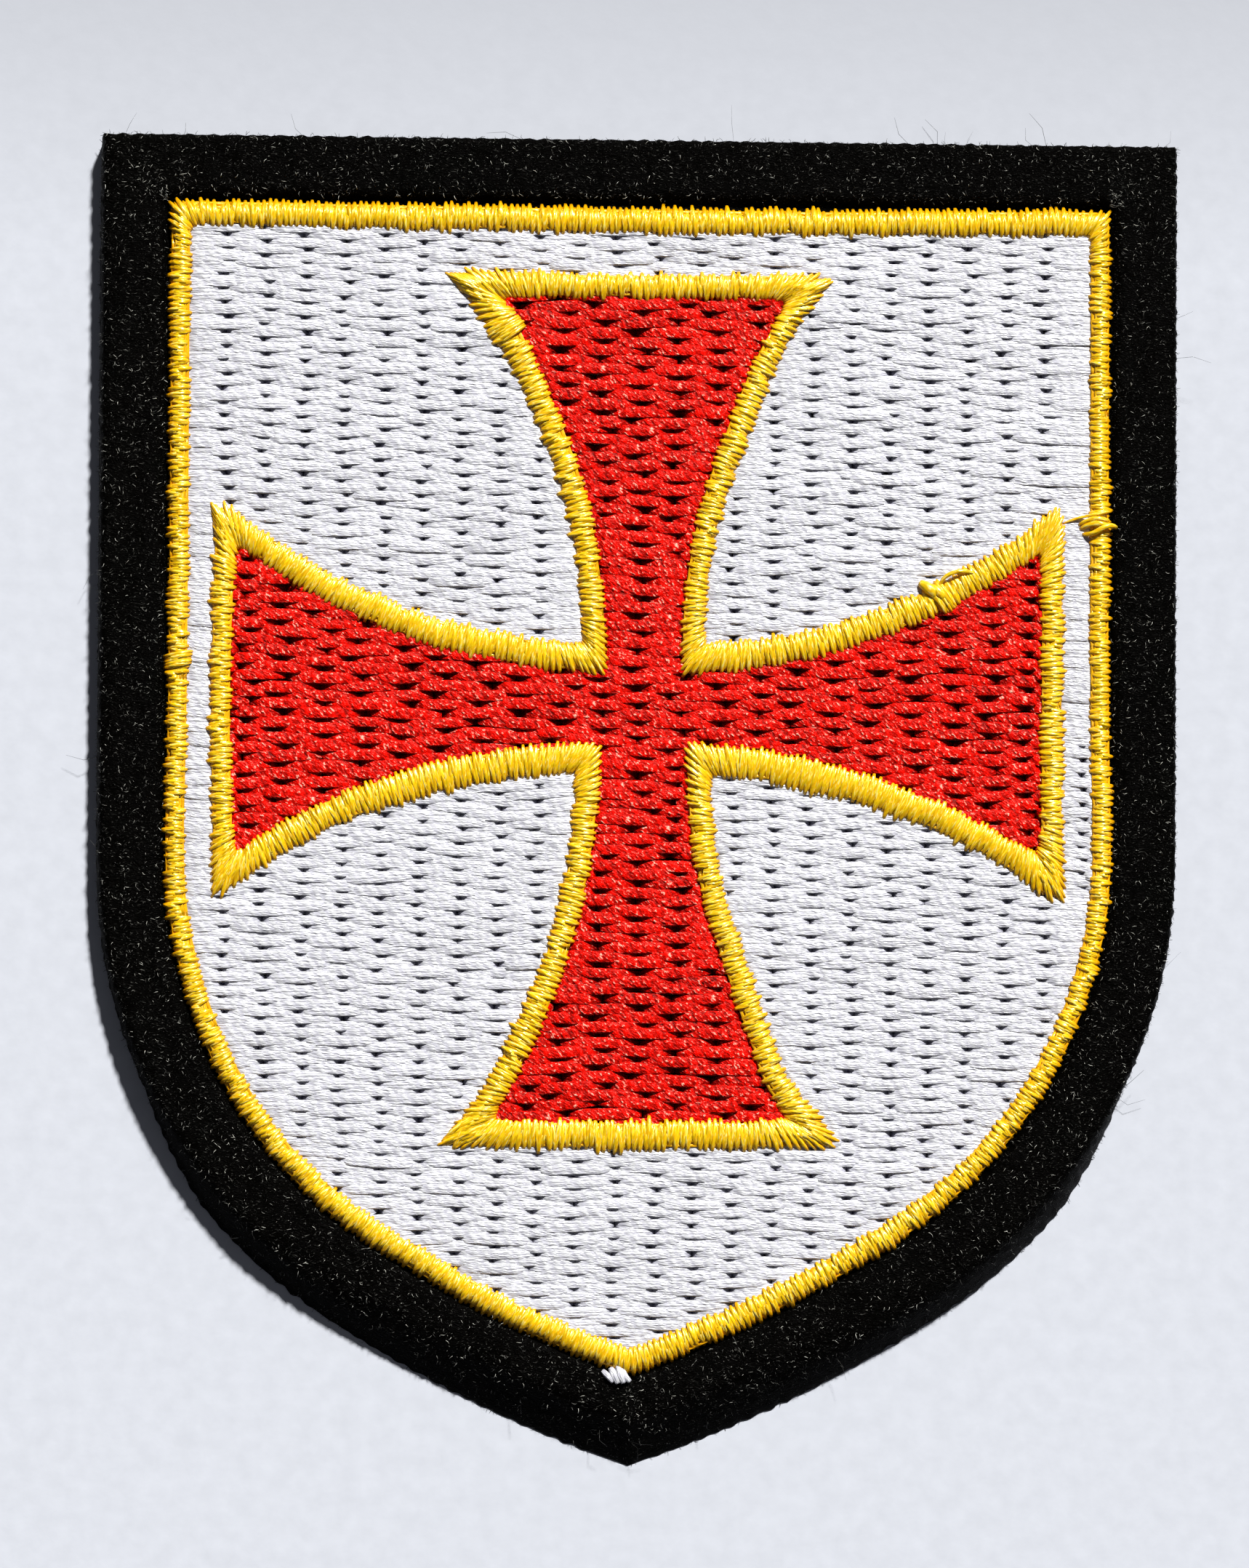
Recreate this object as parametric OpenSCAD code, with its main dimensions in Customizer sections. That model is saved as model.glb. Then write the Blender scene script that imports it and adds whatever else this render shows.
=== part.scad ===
// Embroidered shield patch: a cut felt shield, a stitched field with a flared cross, and raised satin edges.
// The origin is the middle of the felt's back face. The shield's top is towards +Y, its stitched face towards +Z.

/* [Felt shield] */
// Width of the felt's top face
felt_w = 60; // [52:0.1:70]
// Height of the felt's top face, from the top edge to the point
felt_h = 72.6; // [64:0.1:84]
// Thickness of the felt where it is bare
felt_t = 2; // [1.5:0.1:3]
// Length of the straight side, from the top edge to where it starts to curve in
side_h = 40.3; // [34:0.1:46]
// How far the point lies to the left of the shield's middle
point_shift = 0.4; // [-0.6:0.05:0.6]
// How much further the cut edge stands out at the base than at the top
cut_flare = 0.15; // [0:0.05:0.4]
// How far the cut leans out towards the shield's point at the base
cut_lean = 0.4; // [0:0.05:0.8]
// How deep the stitching presses into the felt
sew_depth = 0.55; // [0.3:0.05:0.9]

/* [Stitched field] */
// Thickness of the layer of fill stitches round the cross
field_t = 0.5; // [0.3:0.05:0.8]
// Thickness of the layer of fill stitches in the cross
cross_t = 0.55; // [0.3:0.05:0.8]
// Gap that is kept between neighbouring pieces
piece_gap = 0.05; // [0.02:0.01:0.1]

/* [Shield border] */
// From the felt's top edge to the middle of the border
border_inset = 4.3; // [3:0.05:6]
// Width of the border where it runs level
border_flat_w = 1.55; // [1:0.05:2.4]
// Width of the border where it runs upright, which the thread pulls narrower
border_side_w = 1.25; // [0.9:0.05:2]
// Height of the border's crown above its seat
border_h = 1.05; // [0.7:0.05:1.5]

/* [Cross] */
// White strip that is left between the border and the end of each side arm
strip_side = 1.4; // [0.8:0.05:4]
// White strip that is left between the border and the end of the top arm
strip_top = 2.25; // [1:0.05:6]
// Length of the cross from its top end to its bottom end, along the middle of its outline
cross_h = 47.3; // [42:0.1:52]
// How far the upright arms lie to the right of the shield's middle
cross_shift = 0.15; // [-0.6:0.05:0.6]
// How far the ends of the side arms lie above the arms' necks
end_lift = 0.3; // [-0.6:0.05:0.6]
// Width across the end of the top arm
top_end_w = 18.5; // [14:0.1:21]
// Width across the ends of the side arms
side_end_w = 19.9; // [14:0.1:22]
// Width across the end of the bottom arm
bottom_end_w = 19.3; // [14:0.1:21]
// Width of the top arm at its neck
top_neck_w = 5.4; // [4:0.1:8]
// Width of the side arms at their necks
side_neck_w = 5.4; // [4:0.1:8]
// Width of the bottom arm at its neck
bottom_neck_w = 6.1; // [4:0.1:8]
// How far each side of an arm bows in towards the arm's own middle line
arm_bow = 1.7; // [0.8:0.05:2.4]

/* [Cross outline] */
// Width of the outline where it runs level
outline_flat_w = 1.55; // [1:0.05:2.2]
// Width of the outline where it runs upright
outline_side_w = 1.3; // [0.9:0.05:2]
// Height of the outline's crown above its seat
outline_h = 1.1; // [0.7:0.05:1.5]

/* [Hidden] */

// The curved part of the shield in units of half its width: a round shoulder, then a flatter arc to the point
shoulder_r = 0.9875;
shoulder_turn = 56.5;
point_depth = 1.1;
shoulder_steps = 12;
point_steps = 7;
// Steps along each bowed side of an arm
arm_steps = 10;
// Corners that turn less than this are taken as straight, as a sine
straight = 0.005;
// How far a cut runs past the face that it opens
cut_over = 1;
// Satin section, columns: share of half the width outwards, share of the height
satin_section = [
    [-1, 0],
    [-1, 0.35],
    [-0.82, 0.7],
    [-0.45, 0.93],
    [0, 1],
    [0.45, 0.93],
    [0.82, 0.7],
    [1, 0.35],
    [1, 0],
];

half_w = felt_w / 2;
seat_z = felt_t - sew_depth + piece_gap;

// The two arcs, in units of half the width below the shoulder
shoulder_end = [1 - shoulder_r + shoulder_r * cos(shoulder_turn), -shoulder_r * sin(shoulder_turn)];
end_normal = [cos(shoulder_turn), -sin(shoulder_turn)];
to_point = [0, -point_depth] - shoulder_end;
point_r = -(to_point * to_point) / (2 * to_point * end_normal);
point_centre = shoulder_end - point_r * end_normal;
point_turn = atan2(point_depth + point_centre[1], -point_centre[0]);
point_scale = (felt_h - side_h) / point_depth;

shoulder_arc = [
    for (i = [0 : shoulder_steps])
        let (t = shoulder_turn * i / shoulder_steps)
            [1 - shoulder_r + shoulder_r * cos(t), -shoulder_r * sin(t)]
];
point_arc = [
    for (i = [1 : point_steps])
        let (t = shoulder_turn + (point_turn - shoulder_turn) * i / point_steps)
            point_centre + point_r * [cos(t), -sin(t)]
];

function reversed(p) = [for (i = [len(p) - 1 : -1 : 0]) p[i]];
function without_last(p) = [for (i = [0 : len(p) - 2]) p[i]];
function moved(p, v) = [for (q = p) q + v];

function edge_normal(p, i) =
    let (d = p[(i + 1) % len(p)] - p[i])
        [d[1], -d[0]] / norm(d);

// Distance for a run with normal n, between its values on an upright and on a level run
function by_run(n, side, flat) = side * n[0] * n[0] + flat * n[1] * n[1];

// Closed anticlockwise outline p moved outwards, with mitred corners
function grown(p, side, flat) = [
    for (i = [0 : len(p) - 1])
        let (
            a = edge_normal(p, (i + len(p) - 1) % len(p)),
            b = edge_normal(p, i),
            da = by_run(a, side, flat),
            db = by_run(b, side, flat),
            turn = a[0] * b[1] - a[1] * b[0]
        )
        p[i] + (abs(turn) < straight
            ? (a * da + b * db) / 2
            : [da * b[1] - db * a[1], db * a[0] - da * b[0]] / turn)
];

// A point q of the arcs on one side of the shield, drawn sideways the more the nearer it is to the point
function on_side(q, side) = [
    side * q[0] * half_w - point_shift * pow(q[1] / point_depth, 2),
    q[1] * point_scale - side_h
];

// Shield outline with its top edge at y = 0, anticlockwise from the point
right_curve = [for (q = concat(shoulder_arc, point_arc)) on_side(q, 1)];
left_curve = [for (q = concat(shoulder_arc, without_last(point_arc))) on_side(q, -1)];
shield = concat(reversed(right_curve), [[half_w, 0], [-half_w, 0]], left_curve);
shield_base = moved(grown(shield, cut_flare, cut_flare), [0, -cut_lean]);

// The origin lies midway between the highest and the lowest point of the felt
top_y = (-min([for (q = shield_base) q[1]]) - max(0, cut_flare - cut_lean)) / 2;
felt_face = moved(shield, [0, top_y]);
felt_base = moved(shield_base, [0, top_y]);
border_path = grown(felt_face, -border_inset, -border_inset);

// Reach of the cross's arms, kept inside the border
cross_top_y = top_y - border_inset - border_flat_w / 2 - strip_top - outline_flat_w / 2;
cross_side_x = half_w - border_inset - border_side_w / 2 - strip_side - outline_side_w / 2;
cross_centre = [cross_shift, cross_top_y - cross_h / 2];
right_reach = cross_side_x - cross_shift;
left_reach = cross_side_x + cross_shift;

// Corners of the cross round its centre, columns: x, y, bow of the run to the next corner
cross_corners = [
    [right_reach, end_lift - side_end_w / 2, 0],
    [right_reach, end_lift + side_end_w / 2, arm_bow],
    [top_neck_w / 2, side_neck_w / 2, arm_bow],
    [top_end_w / 2, cross_h / 2, 0],
    [-top_end_w / 2, cross_h / 2, arm_bow],
    [-top_neck_w / 2, side_neck_w / 2, arm_bow],
    [-left_reach, end_lift + side_end_w / 2, 0],
    [-left_reach, end_lift - side_end_w / 2, arm_bow],
    [-bottom_neck_w / 2, -side_neck_w / 2, arm_bow],
    [-bottom_end_w / 2, -cross_h / 2, 0],
    [bottom_end_w / 2, -cross_h / 2, arm_bow],
    [bottom_neck_w / 2, -side_neck_w / 2, arm_bow],
];

// Points from one corner up to the next, bowed to the left of the way they run
function bowed_run(from, to, bow) =
    let (
        steps = bow > 0 ? arm_steps : 1,
        chord = to - from,
        leftwards = [-chord[1], chord[0]] / norm(chord)
    )
    [
        for (i = [0 : steps - 1])
            let (t = i / steps)
                from + chord * t + leftwards * bow * 4 * t * (1 - t)
    ];

// Middle of the cross's outline, anticlockwise
cross_path = [
    for (i = [0 : len(cross_corners) - 1])
        let (
            c = cross_corners[i],
            next = cross_corners[(i + 1) % len(cross_corners)]
        )
        each moved(bowed_run([c[0], c[1]], [next[0], next[1]], c[2]), cross_centre)
];

// Solid between two outlines of the same count, at z = 0 and z = h
module flared_plate(low, high, h) {
    n = len(low);
    polyhedron(
        points = concat([for (q = low) [q[0], q[1], 0]], [for (q = high) [q[0], q[1], h]]),
        faces = concat(
            [[for (i = [0 : n - 1]) i]],
            [[for (i = [n - 1 : -1 : 0]) n + i]],
            [
                for (i = [0 : n - 1])
                    each [
                        [i, n + i, (i + 1) % n],
                        [(i + 1) % n, n + i, n + (i + 1) % n]
                    ]
            ]
        )
    );
}

// Raised satin band along a closed path, with its crown at height h
module satin_band(path, side_w, flat_w, h) {
    n = len(path);
    m = len(satin_section);
    rings = [for (s = satin_section) grown(path, s[0] * side_w / 2, s[0] * flat_w / 2)];
    polyhedron(
        points = [
            for (j = [0 : m - 1])
                for (q = rings[j])
                    [q[0], q[1], satin_section[j][1] * h]
        ],
        faces = [
            for (j = [0 : m - 1])
                for (i = [0 : n - 1])
                    let (
                        a = j * n + i,
                        b = j * n + (i + 1) % n,
                        c = ((j + 1) % m) * n + i,
                        d = ((j + 1) % m) * n + (i + 1) % n
                    )
                    each [[a, b, c], [b, d, c]]
        ]
    );
}

// Inside of a path, moved outwards past half the width of its band by the extra given
module band_area(path, side_w, flat_w, extra) {
    polygon(grown(path, side_w / 2 + extra, flat_w / 2 + extra));
}

// Felt shield, pressed down where the stitching holds it
module felt_backing() {
    color([0.05, 0.05, 0.05])
        difference() {
            flared_plate(felt_base, felt_face, felt_t);
            translate([0, 0, felt_t - sew_depth])
                linear_extrude(sew_depth + cut_over)
                    band_area(border_path, border_side_w, border_flat_w, piece_gap);
        }
}

// Fill stitches from the border in to the cross
module field_fill() {
    color([0.93, 0.93, 0.96])
        translate([0, 0, seat_z])
            linear_extrude(field_t)
                difference() {
                    band_area(border_path, -border_side_w, -border_flat_w, -piece_gap);
                    band_area(cross_path, outline_side_w, outline_flat_w, piece_gap);
                }
}

// Satin border round the field
module shield_border() {
    color([0.95, 0.72, 0.05])
        translate([0, 0, seat_z])
            satin_band(border_path, border_side_w, border_flat_w, border_h);
}

// Fill stitches of the flared cross
module cross_fill() {
    color([0.8, 0.06, 0.03])
        translate([0, 0, seat_z])
            linear_extrude(cross_t)
                band_area(cross_path, -outline_side_w, -outline_flat_w, -piece_gap);
}

// Satin outline of the cross, with pointed corners
module cross_outline() {
    color([0.95, 0.72, 0.05])
        translate([0, 0, seat_z])
            satin_band(cross_path, outline_side_w, outline_flat_w, outline_h);
}

felt_backing();
field_fill();
shield_border();
cross_fill();
cross_outline();
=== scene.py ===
import math

import bmesh
import bpy
import numpy as np
from mathutils import Matrix, Vector


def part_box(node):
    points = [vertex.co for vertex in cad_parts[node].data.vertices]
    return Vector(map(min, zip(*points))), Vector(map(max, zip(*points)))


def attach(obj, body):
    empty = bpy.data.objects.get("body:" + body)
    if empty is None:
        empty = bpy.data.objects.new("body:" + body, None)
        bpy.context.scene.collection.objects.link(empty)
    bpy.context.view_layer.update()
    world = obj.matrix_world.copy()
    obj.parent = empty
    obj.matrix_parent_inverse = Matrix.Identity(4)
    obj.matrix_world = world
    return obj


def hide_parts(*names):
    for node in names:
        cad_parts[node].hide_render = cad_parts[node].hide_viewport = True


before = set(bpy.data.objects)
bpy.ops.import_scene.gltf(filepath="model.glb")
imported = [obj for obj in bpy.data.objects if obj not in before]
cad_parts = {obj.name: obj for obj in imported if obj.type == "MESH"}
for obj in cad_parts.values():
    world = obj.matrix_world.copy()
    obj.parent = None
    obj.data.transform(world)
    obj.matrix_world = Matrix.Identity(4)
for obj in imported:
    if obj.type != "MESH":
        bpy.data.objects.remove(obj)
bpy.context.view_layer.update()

scene = bpy.context.scene
mm = 0.001  # everything below is worked out in millimetres

# Camera, at the angle of the photograph
view = {
    "imageW": 1718,                   # pixels
    "pixelsPerMm": 24.57,             # on the table, straight below the camera
    "distance": 336,
    "lookAt": (-0.75, 0.65, 0),
    "leanX": -3.52, "leanY": -1.72,   # degrees off straight down
    "roll": 0.27,                     # degrees
    "sensorW": 36,
    "clipStart": 10,
}


def toScene(name, data, material=None):
    made = bpy.data.objects.new(name, data)
    scene.collection.objects.link(made)
    if material:
        data.materials.append(material)
    return made


def addCamera():
    leanX, leanY = math.radians(view["leanX"]), math.radians(view["leanY"])
    back = Vector((math.tan(leanX), math.tan(leanY), 1)).normalized()
    level = Vector((0, 1, 0)).cross(back).normalized()
    right = Matrix.Rotation(math.radians(view["roll"]), 3, back) @ level
    up = back.cross(right)
    camera = toScene("camera", bpy.data.cameras.new("camera"))
    rotation = Matrix((right, up, back)).transposed().to_4x4()
    place = (Vector(view["lookAt"]) + back * view["distance"]) * mm
    camera.matrix_world = Matrix.Translation(place) @ rotation
    camera.data.sensor_fit = "HORIZONTAL"
    camera.data.sensor_width = view["sensorW"]
    focalPixels = view["pixelsPerMm"] * view["distance"]
    camera.data.lens = view["sensorW"] * focalPixels / view["imageW"]
    camera.data.clip_start = view["clipStart"] * mm
    scene.camera = camera


addCamera()
print("camera ready")

# Studio: pale paper under a sun beyond the top edge, a little to the right, in a dim room
studio = {
    "sunFrom": (0.35, 0.94), "sunHeight": 40, "sunAngle": 5, "sunStrength": 5.8,
    "sunColor": (1.0, 0.985, 0.955),
    "roomColor": (0.88, 0.90, 1.0), "roomStrength": 0.065,
    "floorSize": 900, "floorColor": (0.67, 0.70, 0.775), "floorFleck": 0.16, "floorRoughness": 0.9,
    "fleckScale": 900.0, "fleckDetail": 3.0, "fleckHigh": 0.02, "fleckBump": 0.5,
    "paintedShadeFrom": 30, "paintedShadeOver": 18, "paintedShadeTo": 0.72,   # painted shade: the paper is painted a little darker beyond the top edge
}


def put(tree, kind, inputs=None, **settings):
    made = tree.nodes.new("ShaderNode" + kind)
    for name, value in settings.items():
        setattr(made, name, value)
    for key, value in (inputs or {}).items():
        if isinstance(value, bpy.types.NodeSocket):
            tree.links.new(value, made.inputs[key])
        else:
            made.inputs[key].default_value = value
    return made


def calc(tree, operation, *values, clamp=False):
    return put(tree, "Math", dict(enumerate(values)), operation=operation, use_clamp=clamp).outputs[0]


def noise(tree, place, scale=1.0, detail=1.0, output="Fac"):
    return put(tree, "TexNoise", {"Vector": place, "Scale": scale, "Detail": detail}).outputs[output]


def bumped(tree, height, distance, strength=1.0):
    return put(tree, "Bump", {"Height": height, "Distance": distance, "Strength": strength}).outputs[0]


def mixColors(tree, share, low, high, blend="MIX"):
    made = put(tree, "Mix", data_type="RGBA", blend_type=blend)
    for key, value in ((0, share), (6, low), (7, high)):
        if isinstance(value, bpy.types.NodeSocket):
            tree.links.new(value, made.inputs[key])
        elif key == 0:
            made.inputs[key].default_value = value
        else:
            made.inputs[key].default_value = (*value, 1)
    return made.outputs[2]


def newMaterial(name):
    material = bpy.data.materials.new(name)
    material.use_nodes = True
    material.node_tree.nodes.clear()
    return material, material.node_tree


def finishMaterial(tree, inputs):
    surface = put(tree, "BsdfPrincipled", inputs)
    output = put(tree, "OutputMaterial")
    tree.links.new(surface.outputs[0], output.inputs["Surface"])


def toMesh(bm, name):
    mesh = bpy.data.meshes.new(name)
    bm.to_mesh(mesh)
    bm.free()
    return mesh


def paperMaterial():
    material, tree = newMaterial("paper")
    place = put(tree, "TexCoord").outputs["Object"]
    fleck = noise(tree, place, studio["fleckScale"], studio["fleckDetail"])
    low = tuple(c * (1 - studio["floorFleck"]) for c in studio["floorColor"])
    color = mixColors(tree, fleck, low, studio["floorColor"])
    # painted shade: the paper's colour darkens beyond the top edge, in place of a falloff of the light
    north = put(tree, "SeparateXYZ", {0: place}).outputs[1]
    start, reach = studio["paintedShadeFrom"] * mm, studio["paintedShadeOver"] * mm
    paintedShade = calc(tree, "DIVIDE", calc(tree, "SUBTRACT", north, start), reach, clamp=True)
    color = mixColors(tree, paintedShade, color, tuple(c * studio["paintedShadeTo"] for c in studio["floorColor"]))
    normal = bumped(tree, fleck, studio["fleckHigh"] * mm, studio["fleckBump"])
    finishMaterial(tree, {"Base Color": color, "Roughness": studio["floorRoughness"], "Normal": normal})
    return material


def addStudio():
    sun = toScene("sun", bpy.data.lights.new("sun", "SUN"))
    height = math.radians(studio["sunHeight"])
    flat = Vector(studio["sunFrom"]).normalized() * math.cos(height)
    sun.rotation_euler = Vector((flat.x, flat.y, math.sin(height))).to_track_quat("Z", "Y").to_euler()
    sun.data.energy = studio["sunStrength"]
    sun.data.color = studio["sunColor"]
    sun.data.angle = math.radians(studio["sunAngle"])
    world = bpy.data.worlds.new("room")
    world.use_nodes = True
    room = world.node_tree.nodes["Background"]
    room.inputs["Color"].default_value = (*studio["roomColor"], 1)
    room.inputs["Strength"].default_value = studio["roomStrength"]
    scene.world = world
    bm = bmesh.new()
    bmesh.ops.create_grid(bm, x_segments=2, y_segments=2, size=studio["floorSize"] * mm / 2)
    floor = toScene("floor", toMesh(bm, "floor"), paperMaterial())
    scene.view_settings.view_transform = "Standard"
    return floor


floor = addStudio()
print("studio ready")


# Outlines: the crown line of a satin band is read from its node, the other outlines are grown from it
tracing = {
    "weld": 0.002, "crownDeep": 0.01,   # points this near are one point, or lie on the crown
    "straight": 0.005,                  # sine of a turn too slight for a mitre
    "pullEvery": 1.2,                   # between the points that a pull moves
}


def crownPath(name):
    bm = bmesh.new()
    bm.from_mesh(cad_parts[name].data)
    bmesh.ops.scale(bm, vec=(1 / mm,) * 3, verts=bm.verts)
    bmesh.ops.remove_doubles(bm, verts=bm.verts, dist=tracing["weld"])
    top = max(v.co.z for v in bm.verts)
    crown = {v for v in bm.verts if v.co.z > top - tracing["crownDeep"]}
    first = min(crown, key=lambda v: (round(v.co.y, 2), v.co.x))
    path, last, here = [], None, first
    while here is not first or last is None:
        path.append((here.co.x, here.co.y))
        after = [e.other_vert(here) for e in here.link_edges if e.other_vert(here) in crown]
        last, here = here, next(v for v in sorted(after, key=lambda v: -v.co.x) if v is not last)
    bm.free()
    return np.array(path)


def unit(v):
    return v / np.linalg.norm(v, axis=-1, keepdims=True)


def outward(along):
    return np.stack([along[..., 1], -along[..., 0]], -1)


def byRun(normal, sideW, flatW):
    return sideW * normal[..., 0] ** 2 + flatW * normal[..., 1] ** 2


# Anticlockwise path moved outwards by a distance that depends on the way each run goes, with mitred corners
def grown(path, sideW, flatW):
    b = outward(unit(np.roll(path, -1, 0) - path))
    a = np.roll(b, 1, 0)
    da, db = byRun(a, sideW, flatW), byRun(b, sideW, flatW)
    turn = a[:, 0] * b[:, 1] - a[:, 1] * b[:, 0]
    straight = np.abs(turn) < tracing["straight"]
    turn = np.where(straight, 1, turn)
    mitred = np.stack([da * b[:, 1] - db * a[:, 1], db * a[:, 0] - da * b[:, 0]], -1) / turn[:, None]
    level = (a * da[:, None] + b * db[:, None]) / 2
    return path + np.where(straight[:, None], level, mitred)


# The path with points added along its runs, drawn gently to where the sewing went
def pulled(path, pulls):
    points = []
    for a, b in zip(path, np.roll(path, -1, 0)):
        steps = max(1, round(np.linalg.norm(b - a) / tracing["pullEvery"]))
        points += [a + (b - a) * k / steps for k in range(steps)]
    points = np.array(points)
    moved = points.copy()
    for place, shift, reach in pulls:
        near = np.exp(-(((points - place) / reach) ** 2).sum(1))
        moved += near[:, None] * shift
    return moved


# Smooth random wander along s, about size high, with waves of about the given length
def wander(s, size, length, rng, terms=4, spread=(0.6, 1.8)):
    total = np.zeros_like(s)
    for _ in range(terms):
        total += np.sin(2 * math.pi * (s / (length * rng.uniform(*spread)) + rng.uniform()))
    return total * size / terms


# Threads: one short tube, copied along arrays of points and joined into one mesh for each piece
thread = {
    "chordShare": 0.25,   # how far the whole thread's direction steers each of its cross-sections
    "lengthStep": 40,     # moves a thread's length on by its tint, so that no two threads look alike
    "tiny": 1e-9,
}


# The unit tube: each vertex's ring and angle, and each face's corners and their way round
def baseTube(sides, rings):
    bm = bmesh.new()
    bmesh.ops.create_cone(bm, cap_ends=True, segments=sides, radius1=1, radius2=1, depth=1)
    long = [e for e in bm.edges if abs(e.verts[0].co.z - e.verts[1].co.z) > 0.5]
    bmesh.ops.subdivide_edges(bm, edges=long, cuts=rings - 2)
    bmesh.ops.recalc_face_normals(bm, faces=bm.faces)
    bm.verts.index_update()
    ring = np.array([round((v.co.z + 0.5) * (rings - 1)) for v in bm.verts])
    angle = np.array([math.atan2(v.co.y, v.co.x) for v in bm.verts])
    corners, around, starts = [], [], []
    for face in bm.faces:
        starts.append(len(corners))
        turns = [(angle[v.index] / (2 * math.pi) + 0.25) % 1 for v in face.verts]
        if len(turns) == 4 and max(turns) - min(turns) > 0.5:
            turns = [t + 1 if t < 0.5 else t for t in turns]
        corners += [v.index for v in face.verts]
        around += turns
    bm.free()
    return {"ring": ring, "angle": angle, "corners": np.array(corners),
            "around": np.array(around), "starts": np.array(starts)}


# points is (threads, rings, 3), widths and heights are (threads, rings), tints is one number for each thread
def threadPiece(name, base, points, widths, heights, tints, material, node=None):
    count = len(points)
    along = unit(np.gradient(points, axis=1) + thread["tiny"])
    chord = points[:, -1] - points[:, 0]
    ahead = along[..., :2] + thread["chordShare"] * unit(chord[:, None, :2] + thread["tiny"])
    side = unit(np.stack([-ahead[..., 1], ahead[..., 0], np.zeros(ahead.shape[:2])], -1))
    up = unit(np.cross(along, side))
    ring, angle = base["ring"], base["angle"]
    co = (points[:, ring]
          + side[:, ring] * (np.cos(angle)[None, :] * widths[:, ring] / 2)[..., None]
          + up[:, ring] * (np.sin(angle)[None, :] * heights[:, ring] / 2)[..., None])
    steps = np.linalg.norm(np.diff(points, axis=1), axis=-1)
    reach = np.concatenate([np.zeros((count, 1)), np.cumsum(steps, 1)], 1)
    verts = len(ring)
    corners = (base["corners"][None, :] + verts * np.arange(count)[:, None]).ravel()
    starts = (base["starts"][None, :] + len(base["corners"]) * np.arange(count)[:, None]).ravel()
    u = reach[:, ring[base["corners"]]] + tints[:, None] * thread["lengthStep"]
    v = np.broadcast_to(base["around"], u.shape)
    mesh = bpy.data.meshes.new(name)
    mesh.vertices.add(count * verts)
    mesh.vertices.foreach_set("co", (co * mm).astype(np.float32).ravel())
    mesh.loops.add(len(corners))
    mesh.loops.foreach_set("vertex_index", corners.astype(np.int32))
    mesh.polygons.add(len(starts))
    mesh.polygons.foreach_set("loop_start", starts.astype(np.int32))
    mesh.update(calc_edges=True)
    mesh.shade_smooth()
    layer = mesh.uv_layers.new(name="thread")
    layer.data.foreach_set("uv", np.stack([u, v], -1).astype(np.float32).ravel())
    tint = mesh.attributes.new("tint", "FLOAT", "POINT")
    tint.data.foreach_set("value", np.repeat(tints, verts).astype(np.float32))
    mesh.validate()
    piece = toScene(name, mesh, material)
    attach(piece, "root")
    if node:
        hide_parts(node)
    print(name, count, "threads", sum(len(p.vertices) - 2 for p in mesh.polygons), "triangles")


# Thread finish: two twisted plies whose filaments run along the thread.
# Both are drawn from the length and the way round that the UV map holds.
finish = {
    "slackScale": 0.9,                  # how quickly the twist tightens and loosens along the thread
    "hairScale": 2.6,                   # of the finest filaments
    "tintStep": 37.0, "plyStep": 0.6,   # set the filaments apart from thread to thread and ply to ply
}


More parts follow.
